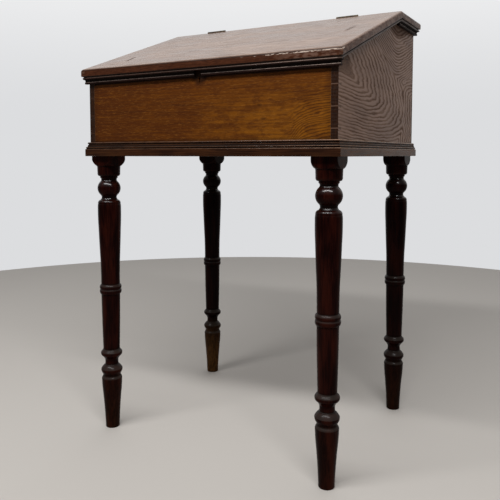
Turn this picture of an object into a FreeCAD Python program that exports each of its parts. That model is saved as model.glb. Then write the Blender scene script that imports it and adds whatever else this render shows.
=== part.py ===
import FreeCAD, Part
import math
import os

from FreeCAD import Placement, Rotation, Vector

# Clerk's standing desk: a dovetailed box with a sloping lid, on a moulded frame and four turned legs.
# Millimetres, +Z up, +X to the right of the clerk, who stands at -Y. The origin is on the floor under
# the middle of the whole desk.

# Whole desk
box_width = 710.0
box_depth = 575.0
wall = 17.0
desk_height = 1136.0
box_back_height = 322.0
base_height = 37.0
overrun = 40.0
touching = 0.000001

# Sloping lid and flat top
lid_slope = 20.0
lid_thickness = 25.0
top_thickness = 25.0
top_depth = 184.0
side_overhang = 15.5
lid_front_overhang = 15.0
top_back_overhang = 19.0
ridge_gap = 1.6
edge_arris_radius = 6.5
edge_under_radius = 3.0
edge_nose_share = 0.73
edge_quirk_share = 0.08
edge_bead_setback = 2.5
edge_bead_round_share = 0.49

# Cove strips under the lid's front edge and under the flat top
strip_height = 11.5
strip_fillet_height = 4.5
strip_fillet_projection = 8.5
strip_top_projection = 9.5
strip_hollow_projection = 5.5
strip_hollow_radius = 2.2
strip_top_lip = 1.2
strip_arris_radius = 1.2
strip_clearance = 0.5
notch_width = 20.0

# Moulded base frame and the blocks in its corners
base_overhang = 10.2
base_rail_thickness = 27.0
base_fascia_height = 20.0
base_quirk_height = 2.0
base_quirk_projection = 7.1
base_cavetto_projection = 8.9
base_cavetto_lip = 1.5
base_cavetto_radius = 4.0
base_fillet_projection = 4.6
base_arris_radius = 1.5
base_fillet_radius = 1.0
base_rebate = 8.0
bottom_thickness = 12.0
bottom_clearance = 0.5
leg_block_size = 60.0

# Turned legs
leg_blank = 63.0
leg_inset = 33.0
tenon_diameter = 26.0
tenon_length = 24.0
tenon_clearance = 0.1

# Rows of the turning from the floor up: height as a share of the leg's height, diameter as a share of
# the square blank, and how far the curve from the row below swells (or, below zero, hollows) as a
# share of the blank. The last row is wider than the blank's diagonal, so its corners stay square.
leg_turning_shares = (
    ("foot sole", 0.0, 0.555, 0.0),
    ("foot toe", 0.0040, 0.598, 0.008),
    ("foot waist", 0.1320, 0.800, -0.012),
    ("foot top", 0.1790, 0.873, 0.006),
    ("foot shoulder", 0.1915, 0.790, 0.018),
    ("foot neck", 0.2020, 0.775, -0.010),
    ("lower disc edge", 0.2195, 0.917, 0.024),
    ("lower disc cone", 0.2345, 0.640, 0.012),
    ("scotia foot", 0.2385, 0.575, -0.012),
    ("scotia head", 0.2545, 0.570, -0.004),
    ("upper disc cone", 0.2700, 0.850, -0.012),
    ("upper disc edge", 0.2775, 0.916, 0.010),
    ("upper disc top", 0.2870, 0.830, 0.016),
    ("lower shaft foot", 0.2945, 0.711, -0.008),
    ("lower shaft head", 0.4975, 0.803, 0.005),
    ("collar foot", 0.5000, 0.876, 0.0),
    ("collar groove", 0.5165, 0.884, 0.028),
    ("collar head", 0.5320, 0.868, 0.030),
    ("upper shaft foot", 0.5350, 0.800, 0.0),
    ("upper shaft waist", 0.6250, 0.835, -0.004),
    ("upper shaft swell", 0.7450, 0.952, 0.003),
    ("upper shaft head", 0.8130, 0.986, 0.007),
    ("shoulder edge", 0.8300, 0.955, 0.006),
    ("shoulder top", 0.8430, 0.745, 0.038),
    ("shoulder lip", 0.8455, 0.700, 0.0),
    ("lower neck", 0.8600, 0.700, -0.034),
    ("ball", 0.9100, 0.714, 0.136),
    ("upper neck", 0.9215, 0.700, -0.026),
    ("fillet foot", 0.9225, 0.746, 0.0),
    ("fillet head", 0.9280, 0.746, 0.0),
    ("drum foot", 0.9290, 0.860, 0.0),
    ("drum edge", 0.9400, 0.960, 0.020),
    ("drum head", 0.9637, 0.981, 0.0),
    ("pommel shoulder", 0.9875, 1.440, 0.055),
)

# Dovetails: thin pins on the front and back boards, wide tails on the sides
pin_pitch = 47.0
pin_tip = 2.0
dovetail_ratio = 7.0

# Butt hinges in the ridge joint
hinge_length = 63.0
hinge_inset = 140.0
leaf_width = 20.0
leaf_thickness = 2.0
leaf_face_gap = 0.3
knuckle_radius = 3.0
knuckle_rise = 0.5
knuckle_clearance = 0.3
hinge_pin_radius = 1.5
hinge_pin_clearance = 0.05
leaf_clearance = 0.2
hinge_screw_pitch = 21.0
hinge_screw_drop = 10.5

# Till lock in the front board, and its strike in the lid
lock_width = 64.0
lock_height = 44.0
lock_depth = 11.0
lock_body_width = 48.0
lock_body_foot = 4.0
lock_plate = 2.0
lock_case_wall = 1.5
selvedge_depth = 13.0
selvedge_thickness = 2.0
lock_clearance = 0.2
bolt_width = 28.0
bolt_thickness = 5.0
bolt_height = 20.0
bolt_travel = 9.0
bolt_clearance = 0.3
bolt_talon_radius = 4.0
keyhole_drop = 23.5
keyhole_radius = 3.2
keyhole_slot_width = 3.4
keyhole_slot_length = 10.0
drill_pin_radius = 1.3
strike_width = 52.0
strike_depth = 16.0
strike_thickness = 2.0
strike_mortise_spare = 3.0
lock_screw_inset = 4.0
strike_screw_inset = 5.0

# Battens under the lid
batten_width = 45.0
batten_thickness = 16.0
batten_inset = 100.0
batten_back_margin = 70.0
batten_front_margin = 60.0
batten_chamfer = 4.0
batten_screw_margin = 30.0
batten_screw_count = 3

# Screws that hold the box down on the base frame, two to a rail
frame_screw_depth = 6.0
frame_screw_share = 0.28

# Countersunk screws: head diameter, shank diameter, length
hinge_screw = (6.0, 3.0, 16.0)
lock_screw = (5.0, 2.4, 11.0)
batten_screw = (7.5, 3.6, 31.0)
frame_screw = (9.0, 4.6, 62.0)
screw_slot_share = 0.16
screw_tip_share = 0.9
screw_clearance = 0.05

# Derived places
half_width = box_width / 2
desk_depth = lid_front_overhang + box_depth + top_back_overhang
lid_front_y = -desk_depth / 2
front_y = lid_front_y + lid_front_overhang
back_y = front_y + box_depth
box_mid_y = (front_y + back_y) / 2
inner_y = front_y + wall
ridge_y = back_y + top_back_overhang - top_depth
top_under_z = desk_height - top_thickness
box_z = top_under_z - box_back_height
leg_height = box_z - base_height
slope = math.radians(lid_slope)
lid_drop = lid_thickness / math.cos(slope)
ridge_point = Vector(0, ridge_y, desk_height)
lid_placement = Placement(ridge_point, Rotation(Vector(1, 0, 0), lid_slope))
hinge_z = desk_height + knuckle_rise
both_ways = (-1, 1)
X = Vector(1, 0, 0)
Y = Vector(0, 1, 0)
Z = Vector(0, 0, 1)


def slope_z(y):
    """Height of the closed lid's upper face at y."""
    return desk_height - (ridge_y - y) * math.tan(slope)


def under_z(y):
    """Height of the closed lid's lower face at y."""
    return slope_z(y) - lid_drop


def box(x_span, y_span, z_span):
    """Block between the two values of each span."""
    corner = Vector(min(x_span), min(y_span), min(z_span))
    sizes = [abs(span[1] - span[0]) for span in (x_span, y_span, z_span)]
    return Part.makeBox(*sizes, corner)


def centred(middle, size):
    """Span of the given size about a middle."""
    return (middle - size / 2, middle + size / 2)


def rod(radius, start, end):
    """Round bar from one point to another."""
    return Part.makeCylinder(radius, (end - start).Length, start, end - start)


def joined(shapes):
    """One solid from shapes that touch or overlap."""
    shapes = list(shapes)
    return shapes[0].fuse(shapes[1:]).removeSplitter()


def across(y, z):
    """Point of a section that is carried along X."""
    return Vector(0, y, z)


def across_lid(y, z):
    """The same, for a point of the closed lid, seen in the lid's own level frame."""
    return lid_placement.inverse().multVec(Vector(0, y, z))


def along(x, z):
    """Point of a section that is carried along Y."""
    return Vector(x, 0, z)


def plan(x, y):
    """Point of an outline that is carried along Z."""
    return Vector(x, y, 0)


def rounded_face(corners, point):
    """Face inside corners (a, b, radius), each rounded by an arc tangent to its two sides."""
    places = [point(a, b) for a, b, radius in corners]
    stops = []
    for index, (a, b, radius) in enumerate(corners):
        here = places[index]
        back = (places[index - 1] - here).normalize()
        ahead = (places[(index + 1) % len(places)] - here).normalize()
        if not radius:
            stops.append((here, None, here))
            continue
        half = back.getAngle(ahead) / 2
        reach = radius / math.tan(half)
        middle = (back + ahead).normalize() * (radius / math.sin(half) - radius)
        stops.append((here + back * reach, here + middle, here + ahead * reach))
    edges = []
    for index, (start, middle, end) in enumerate(stops):
        last = stops[index - 1][2]
        if (start - last).Length > touching:
            edges.append(Part.LineSegment(last, start).toShape())
        if middle:
            edges.append(Part.Arc(start, middle, end).toShape())
    return Part.Face(Part.Wire(edges))


def prism(corners, point, span, direction):
    """Section from corners, carried over a span of the given direction."""
    face = rounded_face(corners, point)
    face.translate(direction * span[0])
    return face.extrude(direction * (span[1] - span[0]))


def edge_groove(overhang, depth):
    """Projection of the groove behind the bead of a board's edge."""
    bead = (1 - edge_nose_share - edge_quirk_share) * depth
    return overhang - edge_bead_setback - bead / 2


def edge_corners(overhang, depth):
    """Thumbnail nose, quirk and bead of a board's edge: (projection, depth below the top, radius)."""
    nose = edge_nose_share * depth
    quirk = nose + edge_quirk_share * depth
    bead_radius = edge_bead_round_share * (depth - quirk)
    bead = overhang - edge_bead_setback
    groove = edge_groove(overhang, depth)
    return [
        (overhang, 0, edge_arris_radius),
        (overhang, nose, edge_under_radius),
        (groove, nose, 0),
        (groove, quirk, 0),
        (bead, quirk, bead_radius),
        (bead, depth, bead_radius),
    ]


def both_edges(depth):
    """Section across a board with its moulded edge on both sides, its top at zero."""
    edge = edge_corners(half_width + side_overhang, depth)
    right = [(x, -z, radius) for x, z, radius in edge]
    left = [(-x, z, radius) for x, z, radius in reversed(right)]
    return right + left


def strip_corners(top, bottom, crown):
    """Cove strip from its foot up to its crown: (projection from the box, height, radius)."""
    hollow_foot = bottom + strip_fillet_height
    hollow_head = top - strip_top_lip
    return [
        (strip_fillet_projection, bottom, strip_arris_radius),
        (strip_fillet_projection, hollow_foot, 0),
        (strip_hollow_projection, hollow_foot, strip_hollow_radius),
        (strip_hollow_projection, hollow_head, strip_hollow_radius),
        (strip_top_projection, hollow_head, 0),
        (strip_top_projection, crown, 0),
    ]


def framed(corners, side):
    """Moulding along one side of the box, its section given outwards from the box, mitred at its ends."""
    turns = {"front": 0, "right": 1, "back": 2, "left": 3}[side]
    length = box_width if side in ("front", "back") else box_depth
    reach = box_depth if side in ("front", "back") else box_width
    section = [(-out, height, radius) for out, height, radius in corners]
    bar = prism(section, across, centred(0, length + 2 * overrun), X)
    half = length / 2
    mitre = [
        (-half - overrun, -overrun, 0),
        (half + overrun, -overrun, 0),
        (half - overrun, overrun, 0),
        (-half + overrun, overrun, 0),
    ]
    bar = bar.common(prism(mitre, plan, (0, desk_height), Z))
    bar.translate(Vector(0, -reach / 2, 0))
    bar.rotate(Vector(), Z, math.degrees(math.pi / 2) * turns)
    bar.translate(Vector(0, box_mid_y, 0))
    return bar


def screw(kind, head, direction, clearance=0):
    """Slotted countersunk screw with its head's top at a point; with a clearance, the hole for it."""
    head_diameter, shank_diameter, reach = kind
    head_radius = head_diameter / 2 + clearance
    shank_radius = shank_diameter / 2 + clearance
    length = reach + clearance
    neck = head_radius - shank_radius
    tip = screw_tip_share * shank_diameter
    outline = [
        (0, 0, 0),
        (head_radius, 0, 0),
        (shank_radius, -neck, 0),
        (shank_radius, tip - length, 0),
        (0, -length, 0),
    ]
    body = rounded_face(outline, along).revolve(Vector(), Z)
    if not clearance:
        slot = screw_slot_share * head_diameter
        body = body.cut(box(centred(0, head_diameter), centred(0, slot), (-slot, slot)))
    body.Placement = Placement(head, Rotation(-Z, direction))
    return body


def screws(kind, places):
    """A group of screws, from (head, direction) places."""
    return Part.makeCompound([screw(kind, head, direction) for head, direction in places])


def screw_holes(kind, places):
    """The holes for such a group."""
    return [screw(kind, head, direction, screw_clearance) for head, direction in places]


nodes = {}


# Legs: each is turned from a square blank, so the pommel at its head keeps the blank's flats
def turned_leg(x, y):
    """Turned leg with a round tenon on its head, from the shares in the turning table."""
    rows = [(h * leg_height, d * leg_blank / 2, s * leg_blank) for name, h, d, s in leg_turning_shares]
    points = [Vector(radius, 0, height) for height, radius, swell in rows]
    edges = [Part.LineSegment(Vector(), points[0]).toShape()]
    for start, end, (height, radius, swell) in zip(points, points[1:], rows[1:]):
        run = end - start
        if swell:
            outward = Vector(run.z, 0, -run.x).normalize()
            middle = (start + end) / 2 + outward * swell
            edges.append(Part.Arc(start, middle, end).toShape())
        else:
            edges.append(Part.LineSegment(start, end).toShape())
    crown = [
        points[-1],
        Vector(points[-1].x, 0, leg_height),
        Vector(tenon_diameter / 2, 0, leg_height),
        Vector(tenon_diameter / 2, 0, leg_height + tenon_length),
        Vector(0, 0, leg_height + tenon_length),
        Vector(),
    ]
    edges += [Part.LineSegment(a, b).toShape() for a, b in zip(crown, crown[1:])]
    turned = Part.Face(Part.Wire(edges)).revolve(Vector(), Z)
    blank_span = centred(0, leg_blank)
    leg = turned.common(box(blank_span, blank_span, (0, leg_height + tenon_length)))
    leg.translate(Vector(x, y, 0))
    return leg


leg_places = {}
for end, y_sign in (("front", -1), ("back", 1)):
    for hand, x_sign in (("left", -1), ("right", 1)):
        leg_x = x_sign * (half_width - leg_inset)
        leg_y = box_mid_y + y_sign * (box_depth / 2 - leg_inset)
        leg_places[f"{end}_{hand}"] = (leg_x, leg_y, x_sign, y_sign)
        nodes[f"leg_{end}_{hand}"] = turned_leg(leg_x, leg_y)

# Base frame: four moulded rails mitred at the corners, rebated inside for the bottom board
fascia_z = leg_height + base_fascia_height
cavetto_z = fascia_z + base_quirk_height
rebate_z = box_z - bottom_thickness
rail_inner = base_overhang - base_rail_thickness
rail_corners = [
    (rail_inner, leg_height, 0),
    (base_overhang, leg_height, base_arris_radius),
    (base_overhang, fascia_z, base_arris_radius),
    (base_quirk_projection, fascia_z, 0),
    (base_quirk_projection, cavetto_z, 0),
    (base_cavetto_projection, cavetto_z, 0),
    (base_cavetto_projection, cavetto_z + base_cavetto_lip, 0),
    (base_fillet_projection, cavetto_z + base_cavetto_lip, base_cavetto_radius),
    (base_fillet_projection, box_z, base_fillet_radius),
    (rail_inner + base_rebate, box_z, 0),
    (rail_inner + base_rebate, rebate_z, 0),
    (rail_inner, rebate_z, 0),
]
rails = {side: framed(rail_corners, side) for side in ("front", "right", "back", "left")}

# Corner blocks: glued inside the frame's corners, bored for the legs' tenons
for corner, (leg_x, leg_y, x_sign, y_sign) in leg_places.items():
    outer_x = x_sign * (half_width + rail_inner)
    outer_y = box_mid_y + y_sign * (box_depth / 2 + rail_inner)
    block = box(
        (outer_x, outer_x - x_sign * leg_block_size),
        (outer_y, outer_y - y_sign * leg_block_size),
        (leg_height, rebate_z),
    )
    bore_foot = Vector(leg_x, leg_y, leg_height - tenon_length)
    bore = rod(tenon_diameter / 2 + tenon_clearance, bore_foot, Vector(leg_x, leg_y, box_z))
    nodes[f"leg_block_{corner}"] = block.cut(bore)

# Bottom board: lies in the rails' rebate, under the walls
bottom_half_x = half_width + rail_inner + base_rebate - bottom_clearance
bottom_half_y = box_depth / 2 + rail_inner + base_rebate - bottom_clearance
nodes["bottom_board"] = box(
    centred(0, 2 * bottom_half_x),
    centred(box_mid_y, 2 * bottom_half_y),
    (rebate_z, box_z),
)


# Box: front and back boards with thin dovetail pins that pass through the side boards
def dovetail_pins(face_y, inward, height):
    """Pins of one board, at both of its ends, each narrow at the board's outer face."""
    root_y = face_y + inward * wall
    root = pin_tip + 2 * wall / dovetail_ratio
    pins = []
    for index in range(int((height - box_z) // pin_pitch)):
        middle = box_z + (index + 1 / 2) * pin_pitch
        section = [
            (face_y, middle - pin_tip / 2, 0),
            (face_y, middle + pin_tip / 2, 0),
            (root_y, middle + root / 2, 0),
            (root_y, middle - root / 2, 0),
        ]
        for x_sign in both_ways:
            ends = (x_sign * (half_width - wall), x_sign * half_width)
            pins.append(prism(section, across, (min(ends), max(ends)), X))
    return pins


board_span = centred(0, box_width - 2 * wall)
front_section = [
    (front_y, box_z, 0),
    (inner_y, box_z, 0),
    (inner_y, under_z(inner_y), 0),
    (front_y, under_z(front_y), 0),
]
front_pins = dovetail_pins(front_y, 1, under_z(front_y))
front_board = joined([prism(front_section, across, board_span, X)] + front_pins)
back_board = joined(
    [box(board_span, (back_y - wall, back_y), (box_z, top_under_z))]
    + dovetail_pins(back_y, -1, top_under_z)
)
side_section = [
    (front_y, box_z, 0),
    (back_y, box_z, 0),
    (back_y, top_under_z, 0),
    (ridge_y, top_under_z, 0),
    (ridge_y, under_z(ridge_y), 0),
    (front_y, under_z(front_y), 0),
]
sides = {}
for hand, x_sign in (("left", -1), ("right", 1)):
    ends = (x_sign * (half_width - wall), x_sign * half_width)
    side_board = prism(side_section, across, (min(ends), max(ends)), X)
    sides[hand] = side_board.cut(front_board).cut(back_board)

# Flat top: one board, its moulded edge worked round the two ends and the back
top_back_edge = edge_corners(top_back_overhang, top_thickness)
top_section = [(ridge_y + ridge_gap / 2, top_under_z, 0), (ridge_y + ridge_gap / 2, desk_height, 0)]
top_section += [(back_y + out, desk_height - depth, radius) for out, depth, radius in top_back_edge]
whole_width = centred(0, box_width + 2 * (side_overhang + overrun))
top_ends = prism(both_edges(top_thickness), along, (ridge_y, back_y + overrun), Y)
top_ends.translate(Vector(0, 0, desk_height))
top_board = prism(top_section, across, whole_width, X).common(top_ends)

# Cove strips planted on the box under the flat top, mitred at the back, cut square at the ridge
cornice_foot_z = top_under_z - strip_height
cornice_corners = strip_corners(top_under_z, cornice_foot_z, top_under_z)
cornice_corners += [(0, top_under_z, 0), (0, cornice_foot_z, 0)]
behind_ridge = box(whole_width, (ridge_y + ridge_gap / 2, back_y + overrun), (box_z, desk_height))
for side in ("left", "right", "back"):
    nodes[f"cornice_{side}"] = framed(cornice_corners, side).common(behind_ridge)

# Lid: one wide board with a plumb back edge, moulded along the front and both ends
lid_back_y = ridge_y - ridge_gap / 2
lid_lip_z = slope_z(lid_front_y)
lid_section = [(lid_back_y, slope_z(lid_back_y), 0)]
for out, depth, radius in edge_corners(lid_front_overhang, lid_drop):
    lid_section.append((front_y - out, lid_lip_z - depth, radius))
groove_y = front_y - edge_groove(lid_front_overhang, lid_drop)
lid_section += [(groove_y, under_z(lid_front_y), 0), (groove_y, under_z(groove_y), 0)]
lid_section.append((lid_back_y, under_z(lid_back_y), 0))
lid_ends = prism(both_edges(lid_thickness), along, (-box_depth, overrun), Y)
lid_panel = prism(lid_section, across_lid, whole_width, X).common(lid_ends)
lid_panel.Placement = lid_placement

# Cove strip under the lid's front edge, with returned ends and a notch that clears the keyhole
strip_foot_z = under_z(lid_front_y) - strip_height
strip_head_z = under_z(front_y - strip_top_projection)
strip_back_y = front_y - strip_clearance
strip_crown_z = under_z(strip_back_y)
strip_front = strip_corners(strip_head_z, strip_foot_z, strip_head_z)
strip_section = [(front_y - out, height, radius) for out, height, radius in strip_front]
strip_section += [(strip_back_y, strip_crown_z, 0), (strip_back_y, strip_foot_z, 0)]
strip_end = strip_corners(strip_head_z, strip_foot_z, strip_crown_z)
end_right = [(half_width + out, height, radius) for out, height, radius in strip_end]
end_left = [(-x, height, radius) for x, height, radius in reversed(end_right)]
strip_ends = prism(end_right + end_left, along, (lid_front_y, inner_y), Y)
strip = prism(strip_section, across, whole_width, X).common(strip_ends)
for hand, x_sign in (("left", -1), ("right", 1)):
    half_span = (x_sign * notch_width / 2, x_sign * (half_width + overrun))
    nodes[f"lid_strip_{hand}"] = strip.common(box(half_span, (lid_front_y, inner_y), (box_z, desk_height)))


# Butt hinges: leaves let into the two edges of the ridge joint, knuckles standing above it
def butt_hinge(middle_x):
    """Fixed leaf, lid leaf, pin, and the square recesses that each leaf and its knuckles need."""
    third = hinge_length / 3
    low_x = middle_x - hinge_length / 2
    high_x = middle_x + hinge_length / 2

    def barrel(radius, start_x, end_x):
        return rod(radius, Vector(start_x, ridge_y, hinge_z), Vector(end_x, ridge_y, hinge_z))

    bore = barrel(hinge_pin_radius + hinge_pin_clearance, low_x - overrun, high_x + overrun)
    spare = leaf_clearance / 2
    outer_knuckles = [(low_x, low_x + third - spare), (high_x - third + spare, high_x)]
    inner_knuckles = [(low_x + third + spare, high_x - third - spare)]
    inner_room = [(low_x + third - spare, high_x - third + spare)]
    outer_room = [(low_x - overrun, low_x + third + spare), (high_x - third - spare, high_x + overrun)]
    leaf_span = (low_x, high_x)
    leaf_foot = hinge_z - leaf_width
    made = {}
    for name, y_sign, knuckles, rooms in (
        ("fixed", 1, outer_knuckles, inner_room),
        ("lid", -1, inner_knuckles, outer_room),
    ):
        face_y = ridge_y + y_sign * leaf_face_gap
        leaf_y = (face_y, face_y + y_sign * leaf_thickness)
        plate = box(leaf_span, leaf_y, (leaf_foot, hinge_z))
        leaf = joined([plate] + [barrel(knuckle_radius, *span) for span in knuckles])
        for span in rooms:
            leaf = leaf.cut(barrel(knuckle_radius + knuckle_clearance, *span))
        recess_x = (low_x - leaf_clearance, high_x + leaf_clearance)
        recess_y = (ridge_y, leaf_y[1])
        recess = box(recess_x, recess_y, (leaf_foot - leaf_clearance, desk_height + overrun))
        room = knuckle_radius + knuckle_clearance
        notch_y = (ridge_y, ridge_y + y_sign * room)
        notch = box(recess_x, notch_y, (hinge_z - room, desk_height + overrun))
        places = []
        for step in (-1, 0, 1):
            head = Vector(middle_x + step * hinge_screw_pitch, face_y, desk_height - hinge_screw_drop)
            places.append((head, Y * y_sign))
        holes = screw_holes(hinge_screw, places)
        made[name] = (leaf.cut(bore).cut(holes), [recess, notch] + holes, places)
    made["pin"] = barrel(hinge_pin_radius, low_x, high_x)
    return made


hinge_offset = half_width - hinge_inset
hinge_screws = {"fixed": [], "lid": []}
for hand, x_sign in (("left", -1), ("right", 1)):
    hinge = butt_hinge(x_sign * hinge_offset)
    for name in ("fixed", "lid"):
        leaf, cuts, places = hinge[name]
        nodes[f"hinge_{hand}_{name}_leaf"] = leaf
        hinge_screws[name] += places
        if name == "fixed":
            top_board = top_board.cut(cuts)
        else:
            lid_panel = lid_panel.cut(cuts)
    nodes[f"hinge_{hand}_pin"] = hinge["pin"]
nodes["hinge_screws_top"] = screws(hinge_screw, hinge_screws["fixed"])
nodes["hinge_screws_lid"] = screws(hinge_screw, hinge_screws["lid"])

# Till lock: a plate, a hollow case and a level selvedge let into the front board's inner face
lock_top_z = under_z(inner_y - selvedge_depth)
lock_foot_z = lock_top_z - lock_height
body_foot_z = lock_foot_z + lock_body_foot
selvedge_z = lock_top_z - selvedge_thickness
case_front_y = inner_y - lock_depth
plate_face_y = inner_y - lock_plate
keyhole_z = lock_top_z - keyhole_drop
cavity_y = (case_front_y + lock_case_wall, plate_face_y)
bolt_y = centred(sum(cavity_y) / 2, bolt_thickness)
bolt_slot_y = (bolt_y[0] - bolt_clearance, bolt_y[1] + bolt_clearance)
bolt_slot_x = centred(0, bolt_width + 2 * bolt_clearance)
cavity_span = centred(0, lock_body_width - 2 * lock_case_wall)


def lock_outline(spare, head_z):
    """The lock's plate, case and selvedge, grown by the spare room of its recess."""
    pieces = (
        (lock_width, plate_face_y, lock_foot_z),
        (lock_body_width, case_front_y, body_foot_z),
        (lock_width, inner_y - selvedge_depth, selvedge_z),
    )
    return [
        box(centred(0, width + 2 * spare), (face_y - spare, inner_y), (foot_z - spare, head_z))
        for width, face_y, foot_z in pieces
    ]


def keyhole(y_span):
    """Round eye with a slot under it, cut through a span of Y."""
    eye = rod(keyhole_radius, Vector(0, y_span[0], keyhole_z), Vector(0, y_span[1], keyhole_z))
    slot = box(centred(0, keyhole_slot_width), y_span, (keyhole_z - keyhole_slot_length, keyhole_z))
    return [eye, slot]


lock_places = []
for x_sign in both_ways:
    for height in (selvedge_z - lock_screw_inset, lock_foot_z + lock_screw_inset):
        head = Vector(x_sign * (lock_width / 2 - lock_screw_inset), inner_y, height)
        lock_places.append((head, -Y))
lock_holes = screw_holes(lock_screw, lock_places)
lock_case = joined(lock_outline(0, lock_top_z))
cavity = box(cavity_span, cavity_y, (body_foot_z + lock_case_wall, selvedge_z))
bolt_slot = box(bolt_slot_x, bolt_slot_y, (body_foot_z + lock_case_wall, lock_top_z + overrun))
lock_case = lock_case.cut([cavity, bolt_slot] + keyhole((case_front_y - overrun, cavity_y[0])) + lock_holes)
drill_pin = rod(drill_pin_radius, Vector(0, case_front_y, keyhole_z), Vector(0, plate_face_y, keyhole_z))
nodes["lock_case"] = joined([lock_case, drill_pin])
nodes["lock_screws"] = screws(lock_screw, lock_places)
lock_recess = lock_outline(lock_clearance, desk_height) + lock_holes
nodes["front_board"] = front_board.cut(lock_recess + keyhole((front_y - overrun, inner_y)))

# Lock bolt: drawn down at rest; the key throws it up into the lid by the talon in its lower edge
bolt = box(centred(0, bolt_width), bolt_y, (lock_top_z - bolt_height, lock_top_z))
talon_start = Vector(0, bolt_y[0] - overrun, lock_top_z - bolt_height)
talon = rod(bolt_talon_radius, talon_start, talon_start + Y * (2 * overrun))
nodes["lock_bolt"] = bolt.cut(talon)

# Strike: a slotted plate let into the lid's lower face over the bolt
bolt_mid_y = sum(bolt_y) / 2
strike_u = (ridge_y + lid_thickness * math.sin(slope) - bolt_mid_y) / math.cos(slope)
strike = box(
    centred(0, strike_width),
    centred(-strike_u, strike_depth),
    (-lid_thickness, strike_thickness - lid_thickness),
)
strike.Placement = lid_placement
mortise_head = lock_top_z + bolt_travel + strike_mortise_spare
mortise = box(bolt_slot_x, bolt_slot_y, (lock_top_z, mortise_head))
lid_up = lid_placement.Rotation.multVec(Z)
strike_places = []
for x_sign in both_ways:
    head_x = x_sign * (strike_width / 2 - strike_screw_inset)
    head = lid_placement.multVec(Vector(head_x, -strike_u, -lid_thickness))
    strike_places.append((head, lid_up))
strike_holes = screw_holes(lock_screw, strike_places)
lid_panel = lid_panel.cut([strike, mortise] + strike_holes)
nodes["lock_strike"] = strike.cut([mortise] + strike_holes)
nodes["strike_screws"] = screws(lock_screw, strike_places)

# Battens: screwed across the grain under the lid to keep it flat
lid_length = (ridge_y - lid_front_y) / math.cos(slope)
batten_front = batten_front_margin - lid_length
batten_run = (batten_front, -batten_back_margin)
batten_foot = -lid_thickness - batten_thickness
batten_section = [
    (batten_run[0], -lid_thickness, 0),
    (batten_run[0], batten_foot + batten_chamfer, 0),
    (batten_run[0] + batten_chamfer, batten_foot, 0),
    (batten_run[1] - batten_chamfer, batten_foot, 0),
    (batten_run[1], batten_foot + batten_chamfer, 0),
    (batten_run[1], -lid_thickness, 0),
]
batten_offset = half_width - batten_inset
batten_places = []
for hand, x_sign in (("left", -1), ("right", 1)):
    span = centred(x_sign * batten_offset, batten_width)
    batten = prism(batten_section, across, span, X)
    batten.Placement = lid_placement.multiply(batten.Placement)
    places = []
    for index in range(batten_screw_count):
        share = index / (batten_screw_count - 1)
        first = batten_run[0] + batten_screw_margin
        last = batten_run[1] - batten_screw_margin
        head = Vector(x_sign * batten_offset, first + share * (last - first), batten_foot)
        places.append((lid_placement.multVec(head), lid_up))
    holes = screw_holes(batten_screw, places)
    nodes[f"lid_batten_{hand}"] = batten.cut(holes)
    lid_panel = lid_panel.cut(holes)
    batten_places += places
nodes["batten_screws"] = screws(batten_screw, batten_places)
nodes["lid_panel"] = lid_panel
nodes["top_board"] = top_board

# Frame screws: driven up through the rails into the walls of the box
frame_places = []
for x_share in (-frame_screw_share, frame_screw_share):
    for y_sign in both_ways:
        row_y = box_mid_y + y_sign * (box_depth / 2 - frame_screw_depth)
        row_x = y_sign * (half_width - frame_screw_depth)
        frame_places.append((Vector(x_share * box_width, row_y, leg_height), Z))
        frame_places.append((Vector(row_x, box_mid_y + x_share * box_depth, leg_height), Z))
nodes["frame_screws"] = screws(frame_screw, frame_places)
frame_holes = screw_holes(frame_screw, frame_places)
nodes["front_board"] = nodes["front_board"].cut(frame_holes)
nodes["back_board"] = back_board.cut(frame_holes)
for hand in sides:
    nodes[f"side_{hand}"] = sides[hand].cut(frame_holes)
for side in rails:
    nodes[f"base_rail_{side}"] = rails[side].cut(frame_holes)

os.makedirs("parts", exist_ok=True)
for name, shape in sorted(nodes.items()):
    if not shape.isValid() or shape.Volume <= 0:
        raise SystemExit(f"{name} isn't a sound solid")
    shape.exportStep(f"parts/{name}.step")
    print(f"{name}: {len(shape.Solids)} solid(s), {shape.Volume / 1000:.1f} cm3")
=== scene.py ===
import math

import bmesh
import bpy
import numpy as np
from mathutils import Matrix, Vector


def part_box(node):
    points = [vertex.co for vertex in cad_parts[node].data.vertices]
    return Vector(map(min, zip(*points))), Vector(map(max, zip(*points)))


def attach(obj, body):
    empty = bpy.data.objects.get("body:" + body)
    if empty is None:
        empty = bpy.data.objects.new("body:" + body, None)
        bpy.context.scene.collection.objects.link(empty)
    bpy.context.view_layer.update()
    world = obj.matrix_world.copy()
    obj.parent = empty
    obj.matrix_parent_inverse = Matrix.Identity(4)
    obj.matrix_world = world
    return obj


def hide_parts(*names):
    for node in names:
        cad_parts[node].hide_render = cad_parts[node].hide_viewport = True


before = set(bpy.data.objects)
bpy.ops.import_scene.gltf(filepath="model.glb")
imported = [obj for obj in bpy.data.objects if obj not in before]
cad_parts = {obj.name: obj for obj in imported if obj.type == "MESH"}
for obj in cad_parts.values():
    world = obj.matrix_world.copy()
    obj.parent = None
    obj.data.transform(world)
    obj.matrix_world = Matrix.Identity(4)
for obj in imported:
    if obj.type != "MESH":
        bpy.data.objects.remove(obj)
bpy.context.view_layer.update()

# Legs: four oak legs, each turned from one square blank, so that its head stays square above the turning.
# A round tenon on the head is glued into a block in the corner of the base frame. The old red-brown polish
# is nearly black, darker in the hollows and rubbed on the beads and toes, with painted shade on the back
# legs.
mm = 0.001
leg_blank = 63 * mm
leg_arris_power = 48
tenon_radius = 13 * mm
leg_columns = 128
leg_run_steps = 16
facet_angle = 35
relief_reach = 7 * mm
relief_depth = 2.2 * mm
rubbed_foot_height = 0.15
# Heights over which the lower turnings take dust and a painted sheen.
dust_and_sheen_heights = (0.56, 0.34)
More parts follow.
